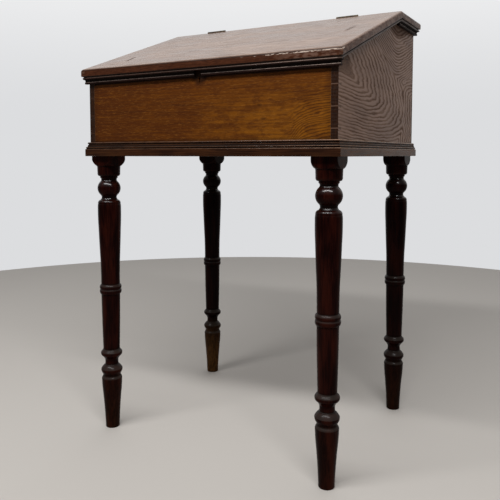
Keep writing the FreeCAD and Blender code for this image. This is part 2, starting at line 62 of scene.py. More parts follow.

# How far each leg's toe is rubbed, and how far the whole leg is painted black as painted shade.
leg_wear_and_shade = {
    "front_left": (0.1, 0.0), "front_right": (0.05, 0.0), "back_left": (1.0, 0.6), "back_right": (0.1, 0.5),
}

# From the floor up: height as a share of the leg, diameter as a share of the blank, and the swell of the
# curve from the row below (a hollow where it is below zero) as a share of the blank.
leg_turning_shares = np.array([
    (0.0, 0.555, 0.0), (0.0040, 0.598, 0.008), (0.1320, 0.800, -0.012), (0.1790, 0.873, 0.006),
    (0.1915, 0.790, 0.018), (0.2020, 0.775, -0.010), (0.2195, 0.917, 0.024), (0.2345, 0.640, 0.012),
    (0.2385, 0.575, -0.012), (0.2545, 0.570, -0.004), (0.2700, 0.850, -0.012), (0.2775, 0.916, 0.010),
    (0.2870, 0.830, 0.016), (0.2945, 0.711, -0.008), (0.4975, 0.803, 0.005), (0.5000, 0.876, 0.0),
    (0.5165, 0.884, 0.028), (0.5320, 0.868, 0.030), (0.5350, 0.800, 0.0), (0.6250, 0.835, -0.004),
    (0.7450, 0.952, 0.003), (0.8130, 0.986, 0.007), (0.8300, 0.955, 0.006), (0.8430, 0.745, 0.038),
    (0.8455, 0.700, 0.0), (0.8600, 0.700, -0.034), (0.9100, 0.714, 0.136), (0.9215, 0.700, -0.026),
    (0.9225, 0.746, 0.0), (0.9280, 0.746, 0.0), (0.9290, 0.860, 0.0), (0.9400, 0.960, 0.020),
    (0.9637, 0.981, 0.0), (0.9985, 1.440, 0.061), (1.0, 1.440, 0.0),
])


def turned_curve(rows, steps):
    """Height and radius along a turning. Each run between two rows is an arc: with t from -1 to 1 and
    a its half angle, chord * sin(a t) / sin(a), stood off by swell * (cos(a t) - cos a) / (1 - cos a)."""
    start, end, swell = rows[:-1, None, :2], rows[1:, None, :2], rows[1:, None, 2:]
    run = end - start
    length = np.linalg.norm(run, axis=-1, keepdims=True)
    angle = np.maximum(2 * np.arctan(2 * np.abs(swell) / length), 0.001)
    share = np.linspace(-1, 1, steps, endpoint=False)[None, :, None]
    along = np.sin(angle * share) / np.sin(angle)
    stand = swell * (np.cos(angle * share) - np.cos(angle)) / (1 - np.cos(angle))
    outward = np.stack((-run[..., 1], run[..., 0]), axis=-1) / length
    curve = (start + end) / 2 + run / 2 * along + outward * stand
    return np.concatenate((curve.reshape(-1, 2), rows[-1:, :2]))


def relief_of(curve):
    """How far a turning stands out from its own mean over a short reach, -1 in hollows to 1 on beads."""
    place = np.concatenate(([0], np.cumsum(np.linalg.norm(np.diff(curve, axis=0), axis=1))))
    even = np.arange(0, place[-1], mm / 2)
    radius = np.interp(even, place, curve[:, 1])
    reach = np.arange(-3 * relief_reach, 3 * relief_reach, mm / 2)
    bell = np.exp(-((reach / relief_reach) ** 2))
    padded = np.pad(radius, len(bell) // 2, mode="edge")
    mean = np.convolve(padded, bell / bell.sum(), mode="same")[len(bell) // 2:-(len(bell) // 2)]
    return np.clip(np.interp(place, even, radius - mean) / relief_depth, -1, 1)


def upward_of(curve):
    """Share of each place on a turning that faces up: 1 where its outward normal rises by about 0.35 to
    0.75 of its length, and 0 where it is level, hangs down or lies flat."""
    along = np.gradient(curve, axis=0)
    rise_share = -along[:, 1] / np.linalg.norm(along, axis=1)
    return np.clip((rise_share - 0.1) / 0.25, 0, 1) * np.clip((0.95 - rise_share) / 0.2, 0, 1)


def skin(name, rings, returned=False):
    """Closed mesh over a stack of rings: quads from ring to ring and round each ring, and a cap at each
    end. Where the last end is returned, its cap is strips between the first and second halves of the ring."""
    count, points = rings.shape[:2]
    index = np.arange(count * points).reshape(count, points)
    ahead = np.roll(index, -1, axis=1)
    quads = np.stack((index[:-1], ahead[:-1], ahead[1:], index[1:]), axis=-1).reshape(-1, 4)
    front, behind = index[-1, :points // 2], index[-1, :points // 2 - 1:-1]
    strips = np.stack((front[:-1], front[1:], behind[1:], behind[:-1]), axis=-1)
    last_cap = strips.tolist() if returned else [index[-1].tolist()]
    mesh = bpy.data.meshes.new(name)
    mesh.from_pydata(rings.reshape(-1, 3).tolist(), [], quads.tolist() + [index[0, ::-1].tolist()] + last_cap)
    edit = bmesh.new()
    edit.from_mesh(mesh)
    bmesh.ops.recalc_face_normals(edit, faces=edit.faces)
    edit.to_mesh(mesh)
    edit.free()
    mesh.shade_smooth()
    mesh.set_sharp_from_angle(angle=math.radians(facet_angle))
    return mesh


def painted(mesh, name, values):
    """Keeps one value for each vertex under a name that a finish can read."""
    mesh.attributes.new(name, "FLOAT", "POINT").data.foreach_set("value", values.astype(np.float32).ravel())


def placed(mesh, finish, body, slot, *nodes):
    """Puts a finished mesh on the desk in place of its CAD nodes."""
    mesh.materials.append(finish)
    piece = bpy.data.objects.new(mesh.name, mesh)
    bpy.context.scene.collection.objects.link(piece)
    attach(piece, body)
    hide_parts(*nodes)


class Field:
    """A value that varies over a surface: one output socket among the nodes of a finish."""

    def __init__(self, tree, socket=None):
        self.tree = tree
        self.socket = socket

    def node(self, kind, settings=None, inputs=None, out=0):
        """Adds a node: first its settings, then the number, colour or field at each of its inputs."""
        made = self.tree.nodes.new("ShaderNode" + kind)
        for name, value in (settings or {}).items():
            setattr(made, name, value)
        for key, value in (inputs or {}).items():
            if isinstance(value, Field):
                self.tree.links.new(value.socket, made.inputs[key])
            else:
                made.inputs[key].default_value = value
        return Field(self.tree, made.outputs[out])

    def math(self, operation, *values):
        """One Math node on these values."""
        return self.node("Math", {"operation": operation}, dict(enumerate(values)))

    def __add__(self, other):
        return self.math("ADD", self, other)

    def __sub__(self, other):
        return self.math("SUBTRACT", self, other)

    def __rsub__(self, other):
        return self.math("SUBTRACT", other, self)

    def __mul__(self, other):
        return self.math("MULTIPLY", self, other)

    def __truediv__(self, other):
        return self.math("DIVIDE", self, other)

    def __rtruediv__(self, other):
        return self.math("DIVIDE", other, self)

    def __pow__(self, other):
        return self.math("POWER", self, other)

    __radd__ = __add__
    __rmul__ = __mul__


def new_finish(name):
    """A new finish, and the field of its place on the desk, in metres."""
    finish = bpy.data.materials.new(name)
    finish.use_nodes = True
    return finish, Field(finish.node_tree).node("TexCoord", out="Object")


def tone(red, green, blue):
    """Colour from display values of 0 to 255, each ((c + 0.055) / 1.055) ** 2.4 above the dark end."""
    share = np.array((red, green, blue)) / 255
    linear = np.where(share > 0.04045, ((share + 0.055) / 1.055) ** 2.4, share / 12.92)
    return (*linear.tolist(), 1.0)


def rise(field, low, high):
    """0 at low, 1 at high, eased between them."""
    ends = {"Value": field, "From Min": low, "From Max": high}
    return field.node("MapRange", {"interpolation_type": "SMOOTHSTEP"}, ends)


def tinted(share, low, high):
    """Colour from low to high as a share goes from 0 to 1."""
    return share.node("Mix", {"data_type": "RGBA"}, {0: share, 6: low, 7: high}, out=2)


def speckle(place, lengths, detail=2):
    """Noise of about 0.3 to 0.7 whose grains have these lengths along X, Y and Z, in metres."""
    even = place.node("VectorMath", {"operation": "DIVIDE"}, {0: place, 1: lengths})
    return even.node("TexNoise", None, {"Vector": even, "Scale": 1, "Detail": detail, "Roughness": 0.6})


def laid(finish, colour, roughness, height, depth, coat=None, **gloss):
    """Lays colour, roughness, relief and a share of hard polish on a finish; gloss gives the numbers that
    are the same all over."""
    target = finish.node_tree.nodes["Principled BSDF"]
    bump = height.node("Bump", None, {"Strength": 1, "Distance": depth, "Height": height})
    laid_fields = {"Base Color": colour, "Roughness": roughness, "Normal": bump, "Coat Weight": coat}
    for key, field in laid_fields.items():
        if field:
            finish.node_tree.links.new(field.socket, target.inputs[key])
    for key, value in gloss.items():
        target.inputs[key.replace("_", " ")].default_value = value


def leg_oak():
    """Dark leg polish: fibres along the leg, darker hollows, rubbed beads and browner rubbed toes, painted
    shade that blackens the back legs, hard polish on the upper turnings where they face up, and dust with a
    painted sheen on the lower ones."""
    finish, place = new_finish("leg_oak")
    relief = place.node("Attribute", {"attribute_name": "relief"}, out="Fac")
    wear_and_highlight = place.node("Attribute", {"attribute_name": "wear_and_highlight"}, out="Fac")
    upward = place.node("Attribute", {"attribute_name": "upward"}, out="Fac")
    back_leg_shade = place.node("Attribute", {"attribute_name": "back_leg_shade"}, out="Fac")
    fibre = speckle(place, (1.5 * mm, 1.5 * mm, 60 * mm), 4)
    cloud = speckle(place, (25 * mm, 25 * mm, 130 * mm))
    patch = speckle(place, (9 * mm, 9 * mm, 14 * mm), 3)
    colour = tinted(rise(fibre * 0.6 + cloud * 0.5, 0.42, 0.68), tone(12, 2, 2), tone(36, 10, 6))
    colour = tinted(rise(cloud + fibre * 0.3, 0.62, 0.84) * 0.2, colour, tone(58, 22, 12))
    # Darker in the hollows.
    colour = tinted(rise(relief, -0.1, -0.7) * 0.8, colour, tone(8, 3, 2))
    colour = tinted(rise(relief, 0.25, 0.9) * rise(patch, 0.42, 0.62) * 0.3, colour, tone(70, 34, 20))
    # Painted shade: the back legs are painted nearly black.
    colour = tinted(back_leg_shade, colour, tone(3, 1, 1))
    colour = tinted(wear_and_highlight * (0.4 + rise(patch + fibre, 0.85, 1.15) * 0.5), colour, tone(84, 56, 28))
    # Grey dust and painted sheen on the lower turnings where they face up.
    dust_and_sheen = rise(place.node("SeparateXYZ", None, {0: place}, out="Z"), *dust_and_sheen_heights)
    colour = tinted(upward * dust_and_sheen * 0.42, colour, tone(60, 54, 50))
    roughness = 0.14 + fibre * 0.08 + rise(relief, -0.1, -0.6) * 0.12 + wear_and_highlight * 0.2 + upward * dust_and_sheen * 0.3
    coat = upward * (0.62 - dust_and_sheen * 0.46)
    laid(finish, colour, roughness, fibre, 0.03 * mm, coat, Specular_IOR_Level=0.03, Coat_Roughness=0.22)
    return finish


leg_head_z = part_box("base_rail_front")[0].z
leg_rows = leg_turning_shares * (leg_head_z, leg_blank / 2, leg_blank)
leg_curve = turned_curve(leg_rows, leg_run_steps)
leg_relief = relief_of(leg_curve)
leg_upward = upward_of(leg_curve)
leg_turn = np.linspace(0, 2 * np.pi, leg_columns, endpoint=False)

# The blank's section is a square with eased arrises: half / (|cos|^p + |sin|^p)^(1/p) at each turn.
leg_square = leg_blank / 2 / (
    np.abs(np.cos(leg_turn)) ** leg_arris_power + np.abs(np.sin(leg_turn)) ** leg_arris_power
) ** (1 / leg_arris_power)
leg_finish = leg_oak()
for corner, (rubbed_share, leg_shade_share) in leg_wear_and_shade.items():
    low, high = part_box(f"leg_{corner}")
    tenon = np.array([(leg_head_z, tenon_radius), (high.z, tenon_radius)])
    whole_curve = np.concatenate((leg_curve, tenon))
    radius = np.minimum(whole_curve[:, 1:], leg_square)
    height = np.broadcast_to(whole_curve[:, :1], radius.shape)
    leg_x, leg_y = (low.x + high.x) / 2, (low.y + high.y) / 2
    leg_rings = (leg_x + radius * np.cos(leg_turn), leg_y + radius * np.sin(leg_turn), height)
    leg_mesh = skin(f"turned_leg_{corner}", np.stack(leg_rings, axis=-1))
    rubbed_rows = rubbed_share * np.clip(1.3 - whole_curve[:, 0] / rubbed_foot_height, 0, 1)
    for name, rows in (("relief", leg_relief), ("upward", leg_upward)):
        painted(leg_mesh, name, np.repeat(np.concatenate((rows, np.zeros(len(tenon)))), leg_columns))
    painted(leg_mesh, "wear_and_highlight", np.repeat(rubbed_rows, leg_columns))
    # The painted shade of each leg.
    painted(leg_mesh, "back_leg_shade", np.full(len(leg_mesh.vertices), leg_shade_share))
    placed(leg_mesh, leg_finish, "carcass", "oak_leg", f"leg_{corner}")

# Base frame: four oak rails, moulded on the bench with a flat fascia, a fillet, a cavetto and a bead, parted
# by quirks, then mitred at the corners. They are screwed to the box from below; their arrises are painted
# paler, as wear and as a painted highlight, and their inner corners darker, as painted shade.
box_low, box_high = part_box("side_right")
side_x = box_high.x
front_y, back_y = box_low.y, box_high.y
box_z = box_low.z
corner_steps = 6
moulding_stations = 40
# Share of the painted highlight that an arris hanging down keeps.
hanging_highlight = 0.1
# Radius, in millimetres, over which the painted shade of a hollow fades.
shade_radius = 6

# Out from the box, up from the rail's foot, and the rounding of each corner, in millimetres.
rail_corners = [
    (-16.8, 0.1, 0.3), (10.2, 0.1, 1.5), (10.2, 19.3, 1.5), (7.1, 19.3, 0), (7.1, 22, 0), (8.9, 22, 0.3),
    (8.9, 24.4, 0.9), (5.2, 24.4, 3), (5.2, 30.3, 0.3), (3.2, 30.3, 0), (3.2, 32.4, 0), (5.4, 32.4, 2.2),
    (5.4, 37, 2.3), (-8.8, 37, 0.3), (-8.8, 25, 0.3), (-16.8, 25, 0.3),
]


def rounded(corners, steps):
    """Closed section through corners (a, b, radius): each corner becomes an arc tangent to its two sides,
    middle + (first * sin(s (1 - t)) + last * sin(s t)) / sin(s) for t from 0 to 1 and a sweep s. Gives the
    points and, for each, its relief: 1 at the middle of an outer arris that faces up, near 0 on one that
    faces down, -1 in an inner corner."""
    corners = np.array(corners, float)
    here, radius = corners[:, :2], corners[:, 2:]
    back = np.roll(here, 1, axis=0) - here
    ahead = np.roll(here, -1, axis=0) - here
    back /= np.linalg.norm(back, axis=1, keepdims=True)
    ahead /= np.linalg.norm(ahead, axis=1, keepdims=True)
    half = np.arccos(np.clip((back * ahead).sum(1, keepdims=True), -1, 1)) / 2
    inward = (back + ahead) / np.linalg.norm(back + ahead, axis=1, keepdims=True)
    middle = here + inward * radius / np.sin(half)
    first = here + back * radius / np.tan(half) - middle
    last = here + ahead * radius / np.tan(half) - middle
    sweep = (np.pi - 2 * half)[:, None]
    share = np.linspace(0, 1, steps)[None, :, None]
    arc = first[:, None] * np.sin(sweep * (1 - share)) + last[:, None] * np.sin(sweep * share)
    points = middle[:, None] + arc / np.sin(np.maximum(sweep, 0.001))
    turn = back[:, 0] * ahead[:, 1] - back[:, 1] * ahead[:, 0]
    # Relief for painting: a highlight on arrises that face up, little on hanging ones, shade in inner
    # corners.
    facing = np.where(inward[:, 1:] < 0, 1.0, hanging_highlight)
    wear_and_highlight = facing * np.sin(np.pi * share[:, :, 0])
    relief = np.where(turn[:, None] < 0, wear_and_highlight, -1 / (1 + radius / shade_radius))
    return points.reshape(-1, 2) * mm, relief.ravel()


def carried(section, run_low, run_high):
    """Section of (out, up) points carried along a straight run: at share t the place on the run is
    low + t (high - low), where each line of the section has its own ends, further out at a mitre."""
    share = np.linspace(0, 1, moulding_stations)[:, None]
    run = run_low + share * (run_high - run_low)
    return run, np.broadcast_to(section[:, 0], run.shape), np.broadcast_to(section[:, 1], run.shape)


def along_side(side, run, out, up):
    """Rings in the desk's frame of a moulding along one side of the box."""
    across = {
        "front": front_y - out, "back": back_y + out, "left": -side_x - out, "right": side_x + out,
    }[side]
    flat = (run, across) if side in ("front", "back") else (across, run)
    return np.stack((*flat, up), axis=-1)


def moulding_oak(name, lengths, dark, pale, wear_and_highlight, dullness):
    """Moulding polish: fibres along the run, a broad cloud of tone, arrises painted paler as wear and as a
    painted highlight, more towards the right of the desk, and painted shade in the inner corners. Dullness
    is its least roughness."""
    finish, place = new_finish(name)
    x = place.node("SeparateXYZ", None, {0: place}, out="X")
    highlight_to_right = 0.26 + rise(x, 0.02, 0.36) * 0.5
    relief = place.node("Attribute", {"attribute_name": "relief"}, out="Fac")
    fibre = speckle(place, lengths, 4)
    cloud = speckle(place, (90 * mm, 90 * mm, 30 * mm))
    patch = speckle(place, (16 * mm, 16 * mm, 5 * mm), 3)
    colour = tinted(rise(fibre * 0.7 + cloud * 0.5, 0.45, 0.72), dark, pale)
    # Arrises painted paler: wear and a painted highlight, brighter towards the right.
    colour = tinted(rise(relief, 0.2, 0.9) * (0.4 + rise(patch, 0.3, 0.6) * 0.6) * highlight_to_right, colour, wear_and_highlight)
    # Painted shade in the inner corners, spreading a little onto the flats beside them.
    colour = tinted(rise(relief, -0.1, -0.8) * 0.85, colour, tone(9, 5, 3))
    roughness = dullness + rise(fibre, 0.4, 0.62) * 0.2 + rise(relief, -0.05, -0.6) * 0.3
    coat = rise(relief, 0.2, 0.8) * 0.15
    laid(finish, colour, roughness, fibre, 0.05 * mm, coat, Specular_IOR_Level=0.1, Coat_Roughness=0.42)
    return finish


# Dark and pale tones, a paler tone painted on arrises as wear and highlight, and dullness.
base_polish = (tone(32, 15, 8), tone(60, 33, 15), tone(150, 118, 96), 0.22)
# The side rails are painted lighter and warmer than the front ones, as painted sheen.
base_side_sheen_polish = (tone(46, 28, 18), tone(84, 54, 34), tone(150, 118, 92), 0.22)
fibre_along = {"front": (80 * mm, 1.2 * mm, 1.2 * mm), "right": (1.2 * mm, 80 * mm, 1.2 * mm)}
base_finishes = {
    "front": moulding_oak("base_oak_across", fibre_along["front"], *base_polish),
    "right": moulding_oak("base_oak_along", fibre_along["right"], *base_side_sheen_polish),
}
rail_section, rail_relief = rounded(rail_corners, corner_steps)
rail_section[:, 1] += leg_head_z
for side, grain in (("front", "front"), ("back", "front"), ("left", "right"), ("right", "right")):
    ends = (-side_x, side_x) if grain == "front" else (front_y, back_y)
    run = carried(rail_section, ends[0] - rail_section[:, 0], ends[1] + rail_section[:, 0])
    rail_mesh = skin(f"moulded_rail_{side}", along_side(side, *run))
    painted(rail_mesh, "relief", np.tile(rail_relief, moulding_stations))
    placed(rail_mesh, base_finishes[grain], "carcass", "oak_moulding", f"base_rail_{side}")

# Inside the base: oak blocks glued into the corners for the legs' tenons, and the bottom board that lies
# in the rails' rebate. Neither was ever polished, so they are a dry, dusty brown.


def dressed(finish, *nodes):
    """Gives CAD nodes that stay in sight their finish."""
    for name in nodes:
        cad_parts[name].data.materials.clear()
        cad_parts[name].data.materials.append(finish)


bare_fibre = {"x": (40 * mm, 1.4 * mm, 1.4 * mm), "y": (1.4 * mm, 40 * mm, 1.4 * mm)}
bare_ring = {"x": (350 * mm, 14 * mm, 14 * mm), "y": (14 * mm, 350 * mm, 14 * mm)}


def bare_oak(place, grain="x"):
    """Colour and fibres of unpolished oak: fibres and faint rings along the grain, with dust."""
    fibre = speckle(place, bare_fibre[grain], 4)
    ring = speckle(place, bare_ring[grain], 3)
    dust = speckle(place, (60 * mm, 60 * mm, 60 * mm), 3)
    colour = tinted(rise(ring * 0.6 + fibre * 0.5, 0.42, 0.7), tone(84, 58, 38), tone(128, 94, 64))
    return tinted(rise(dust, 0.5, 0.75) * 0.4, colour, tone(120, 104, 88)), fibre


def inner_oak():
    """Unpolished oak all over."""
    finish, place = new_finish("inner_oak")
    colour, fibre = bare_oak(place)
    laid(finish, colour, 0.62 + fibre * 0.2, fibre, 0.2 * mm, Specular_IOR_Level=0.3)
    return finish


inner_finish = inner_oak()
dressed(inner_finish, "bottom_board", *(f"leg_block_{corner}" for corner in leg_wear_and_shade))

# Side boards: wide flat-sawn oak, with the long looped rings of such a board, under an old greyed polish.
# Their front ends show as a dark strip of end grain, crossed by the thin pins of the front board. Inside,
# they were never polished.
board_thickness = box_high.x - box_low.x
ring_stretch = 3.4
ring_pitch = 9.0
corner_power = 2.4
end_skin = 0.6 * mm
inner_skin = 0.5 * mm

# Places in the figure of a side board, in millimetres from its lower front corner, the run shrunk by the
# stretch: the corner near the front, where it bends back, the trough at the upper back, and the corner at
# the back edge.
heart_run, heart_up = 22, 143
heart_lean, heart_sag = 0.2, 0.22
bend_up, bend_back = 150, 0.0025
trough_run, trough_up = 122, 271
trough_half_width, trough_steepness = 9, 1.2
back_run, back_up, back_lag = 172, 128, 80
back_run_scale, back_up_scale = 1.2, 0.9
figure_blend = 6
ring_closing = 900
figure_start = 2.5


def axes(place):
    """The X, Y and Z of a place, as three fields."""
    parts = place.node("SeparateXYZ", None, {0: place}).socket.node
    return [Field(place.tree, parts.outputs[key]) for key in "XYZ"]


def above(field, floor=0):
    """The part of a field above a floor, and zero below it."""
    return field.math("MAXIMUM", field - floor, 0)


def corner_rings(across, up):
    """Rings round one corner of the figure: (u^p + v^p)^(1/p) of the parts of u and v above zero."""
    return (above(across) ** corner_power + above(up) ** corner_power) ** (1 / corner_power)


def loop_rings(across, up):
    """Rings round the middle of a loop of the figure: sqrt(u^2 + v^2)."""
    return (across * across + up * up) ** 0.5


def ring_lines(distance, wander, pitch):
    """Dark line of each year's ring, 0 to 1: it darkens outwards and ends sharply."""
    phase = (distance + wander) / pitch
    saw = phase.math("FRACT", phase)
    return rise(saw, 0.3, 0.75) * rise(saw, 1.0, 0.84)


def side_figure(run, up):
    """Figure of a side board, as the smooth least of three distances d: rings round a corner near the
    front, that lean back higher up, under a trough at the upper back, and round a corner at the back edge.
    The rings lie closer further out, as d + d^2 / closing."""
    heart = run - heart_run
    leaned = heart + (up - heart_up) * heart_lean + above(up, bend_up) ** 2 * bend_back
    front = corner_rings(leaned, (heart_up - up) - heart * heart_sag)
    upper = trough_up - up + loop_rings(run - trough_run, trough_half_width) * trough_steepness
    back = corner_rings((back_run - run) * back_run_scale, (up - back_up) * back_up_scale) + back_lag
    nearest = front.math("SMOOTH_MIN", front, upper, figure_blend)
    nearest = nearest.math("SMOOTH_MIN", nearest, back, figure_blend)
    return nearest + nearest * nearest / ring_closing + figure_start


def side_oak(name, flip):
    """Side board: ring lines over its figure, pores along Y, dark ends and a bare inner face."""
    finish, place = new_finish(name)
    x, y, z = axes(place)
    run = (back_y - y if flip else y - front_y) / (ring_stretch * mm)
    up = (z - box_z) / mm
    wander = (speckle(place, (70 * mm, 80 * mm, 16 * mm)) - 0.5) * 13
    figure = side_figure(run, up)
    fade = speckle(place, (60 * mm, 110 * mm, 30 * mm), 3)
    ring = ring_lines(figure, wander, ring_pitch) * (0.5 + rise(fade, 0.36, 0.62) * 0.5)
    pore = speckle(place, (0.9 * mm, 14 * mm, 0.9 * mm), 3)
    cloud = speckle(place, (150 * mm, 150 * mm, 60 * mm), 3)
    heart = rise(figure + cloud * 12, 16, 7)
    colour = tinted(rise(cloud, 0.35, 0.65), tone(108, 80, 64), tone(126, 97, 80))
    colour = tinted(heart * (0.5 + rise(pore, 0.55, 0.35) * 0.4), colour, tone(54, 36, 26))
    colour = tinted(ring * rise(pore, 0.2, 0.5) * 0.66, colour, tone(44, 26, 16))
    colour = tinted(rise(pore, 0.56, 0.72) * 0.3, colour, tone(128, 100, 80))
    colour = tinted(rise(y, back_y - 7 * mm, back_y - 3 * mm) * 0.5, colour, tone(40, 27, 20))
    ends = rise(y, front_y + end_skin, front_y) + rise(y, back_y - end_skin, back_y)
    end_pore = speckle(place, (2 * mm, 2 * mm, 9 * mm), 3)
    colour = tinted(ends, colour, tinted(rise(end_pore, 0.4, 0.65), tone(32, 15, 6), tone(46, 24, 10)))
    across = x.math("ABSOLUTE", x)
    inner_x = side_x - board_thickness
    inner = rise(across, inner_x + inner_skin, inner_x)
    colour = tinted(inner, colour, bare_oak(place, "y")[0])
    roughness = 0.36 + ring * 0.4 + heart * 0.3 - rise(pore, 0.5, 0.7) * 0.06 + inner * 0.2
    laid(finish, colour, roughness, pore * 0.5 - ring * (1 - inner), 0.1 * mm, Specular_IOR_Level=0.16)
    return finish


dressed(side_oak("side_oak_right", False), "side_right")
dressed(side_oak("side_oak_left", True), "side_left")

# Front and back boards: oak sawn so that the rings run nearly straight along the board and over a knot at
# one end, with short pale flecks. Thin dovetail pins pass through the sides, and a plain keyhole pierces the
# front, painted darker round it for handling and as painted shade in the strip's notch. A painted shadow runs
# along each board's head, under the strip or cornice. Inside, the boards are bare.
front_ring_pitch = 9.0
front_ring_start = 120
knot_lift = 40
knot_slope = 0.3
knot_flank = 22
knot_reach = 150
front_knot_x, back_knot_x = 0.245, 0.6
knot_specks = ((-0.071, 49), (-0.081, 80))
keyhole_dark_reach = (26, 12)
keyhole_darkening = 0.7
front_head_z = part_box("lid_strip_left")[0].z
back_head_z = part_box("cornice_back")[0].z
front_tones = (tone(74, 36, 8), tone(94, 50, 8), tone(122, 72, 12))
back_tones = (tone(70, 40, 20), tone(82, 48, 24), tone(92, 58, 32))


def front_oak(name, head_z, keyhole_weight, knot_x, dark, mid, pale):
    """Front board: level rings that rise to the right over a knot at the board's foot, as up - lift, where
    the lift comes in on a flank that widens upwards and dies out higher up. There are flecks, streaks and
    pores along X, dark pins, a painted shadow along the head under the strip, darker paint round the keyhole
    for handling with painted shade in the notch, and darkening towards the ends and the foot."""
    finish, place = new_finish(name)
    x, y, z = axes(place)
    up = (z - box_z) / mm
    along = (x - knot_x) / mm
    flank = rise(along / (knot_flank + up * 0.5), -0.6, 1.2)
    lift = (flank * knot_lift + above(along) * knot_slope) * rise(up, knot_reach, 0)
    flow = up - lift + front_ring_start
    wander = (speckle(place, (110 * mm, 60 * mm, 30 * mm), 3) - 0.5) * 30
    ring = ring_lines(flow, wander, front_ring_pitch)
    pore = speckle(place, (11 * mm, 0.8 * mm, 0.8 * mm), 3)
    fleck = speckle(place, (13 * mm, 1.7 * mm, 1.7 * mm), 2)
    cloud = speckle(place, (110 * mm, 140 * mm, 42 * mm), 3)
    colour = tinted(rise(x + cloud * 0.9, 0.05, 0.6), dark, mid)
    golden = rise(x + cloud * 0.5, 0.18, 0.52) * rise(up + cloud * 120, 200, 100)
    colour = tinted(golden, colour, pale)
    near_knot = rise(lift, 3, 22)
    patch = speckle(place, (30 * mm, 30 * mm, 18 * mm), 4)
    streak = speckle(place, (150 * mm, 4 * mm, 3 * mm), 3)
    band = speckle(place, (150 * mm, 60 * mm, 15 * mm), 2)
    colour = tinted(rise(patch, 0.45, 0.6) * 0.6, colour, dark)
    colour = tinted(rise(band, 0.5, 0.36) * 0.5, colour, dark)
    colour = tinted(rise(band, 0.52, 0.66) * golden * 0.5, colour, tone(134, 82, 18))
    colour = tinted(rise(streak, 0.54, 0.7) * 0.4, colour, pale)
    colour = tinted(rise(streak, 0.46, 0.3) * 0.5, colour, tone(58, 26, 7))
    colour = tinted((1 - ring) * near_knot * 0.35, colour, pale)
    colour = tinted(ring * (rise(pore, 0.3, 0.55) * 0.26 + near_knot * 0.4), colour, tone(46, 20, 5))
    for speck_x, speck_up in knot_specks:
        speck = loop_rings((x - knot_x - speck_x) / (10 * mm), (up - speck_up) / 4)
        colour = tinted(rise(speck + patch, 1.6, 0.7) * 0.6, colour, tone(44, 20, 6))
    colour = tinted(rise(pore, 0.5, 0.32) * 0.4, colour, tone(52, 24, 7))
    colour = tinted(rise(fleck, 0.54, 0.7) * 0.26, colour, tone(150, 98, 40))
    across = x.math("ABSOLUTE", x)
    keyhole = rise(loop_rings(x / mm, (z - head_z) / mm), *keyhole_dark_reach)
    # Painted shadow along the head under the strip, darker paint round the keyhole for handling and as shade
    # in the notch.
    shade_and_grime = rise(z, head_z - 7 * mm, head_z - 1 * mm) * 0.9 + keyhole * keyhole_weight
    # Darker towards the ends and the foot.
    shade_and_grime = shade_and_grime + rise(across, side_x - 40 * mm, side_x - board_thickness) * 0.25 + rise(up, 8, 0) * 0.4
    outer = rise(y, front_y + end_skin, front_y) + rise(y, back_y - end_skin, back_y)
    colour = tinted(shade_and_grime.math("MINIMUM", shade_and_grime, 0.92) * outer, colour, tone(14, 7, 4))
    pins = rise(across, side_x - board_thickness, side_x - board_thickness + 0.3 * mm)
    pin_colour = tinted(rise(x, -0.1, 0.1), tone(58, 38, 28), tone(90, 68, 56))
    colour = tinted(pins, colour, pin_colour)
    front_inner_y, back_inner_y = front_y + board_thickness, back_y - board_thickness
    inner = rise(y, front_inner_y - inner_skin, front_inner_y)
    inner = inner * rise(y, back_inner_y + inner_skin, back_inner_y)
    colour = tinted(inner, colour, bare_oak(place)[0])
    roughness = 0.38 + ring * 0.1 + pore * 0.1 + inner * 0.25
    laid(finish, colour, roughness, pore - ring * 0.4, 0.1 * mm, Specular_IOR_Level=0.08)
    return finish


dressed(front_oak("front_oak", front_head_z, keyhole_darkening, front_knot_x, *front_tones), "front_board")
dressed(front_oak("back_oak", back_head_z, 0, back_knot_x, *back_tones), "back_board")

# Flat top and lid: two wide oak boards, each with a thumbnail nose, a quirk and a bead worked along its
# free edges. The polish is worn, and its pale greyed tones are partly a painted sheen of a low light; the
# lid's front arris is chipped and bare, with a broken painted highlight along it.
merge_gap = 0.001 * mm
plane_share = 0.9999
board_facet_angle = 30


def planed(name, node):
    """Copy of a board as it left the plane: the CAD mesh merged, with its rounded edges shaded smooth and
    its underside, the plane of the largest face that looks down, shaded flat up to its rim."""
    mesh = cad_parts[node].data.copy()
    mesh.name = name
    mesh.materials.clear()
    edit = bmesh.new()
    edit.from_mesh(mesh)
    bmesh.ops.remove_doubles(edit, verts=edit.verts, dist=merge_gap)
    edit.normal_update()
    under = max(edit.faces, key=lambda face: -face.normal.z * face.calc_area()).normal.copy()
    for edge in edit.edges:
        flat = {face.normal.dot(under) > plane_share for face in edge.link_faces}
        edge.smooth = len(flat) == 1 and edge.calc_face_angle(0) < math.radians(board_facet_angle)
    edit.to_mesh(mesh)
    edit.free()
    mesh.shade_smooth()
    return mesh


lid_angle = 20
lid_slope = math.tan(math.radians(lid_angle))
lid_ring_pitch = 11.0
gouge_x, gouge_y, gouge_lean = -0.2745, -0.215, 0.17
smudge_x, smudge_y = 0.302, -0.0775
lid_front_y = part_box("lid_panel")[0].y
ridge_y = (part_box("lid_panel")[1].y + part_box("top_board")[0].y) / 2
top_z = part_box("top_board")[1].z

# Depths below the top face, in millimetres, between which each part of the edge comes in or dies out.
edge_starts = (0.6, 3)
arris_starts, arris_ends = (0.6, 2), (6, 3)
# Depths of the chips along the front arris, painted as a broken highlight.
chip_highlight_start, chip_highlight_end = (3.3, 4.1), (6.8, 5.8)
# Depths where the painted shade of the quirk begins.
quirk_shade_starts = (17.5, 18.5)
bead_starts, bead_ends = (22, 22.6), (24.4, 23.6)
underside_starts = (24, 24.7)


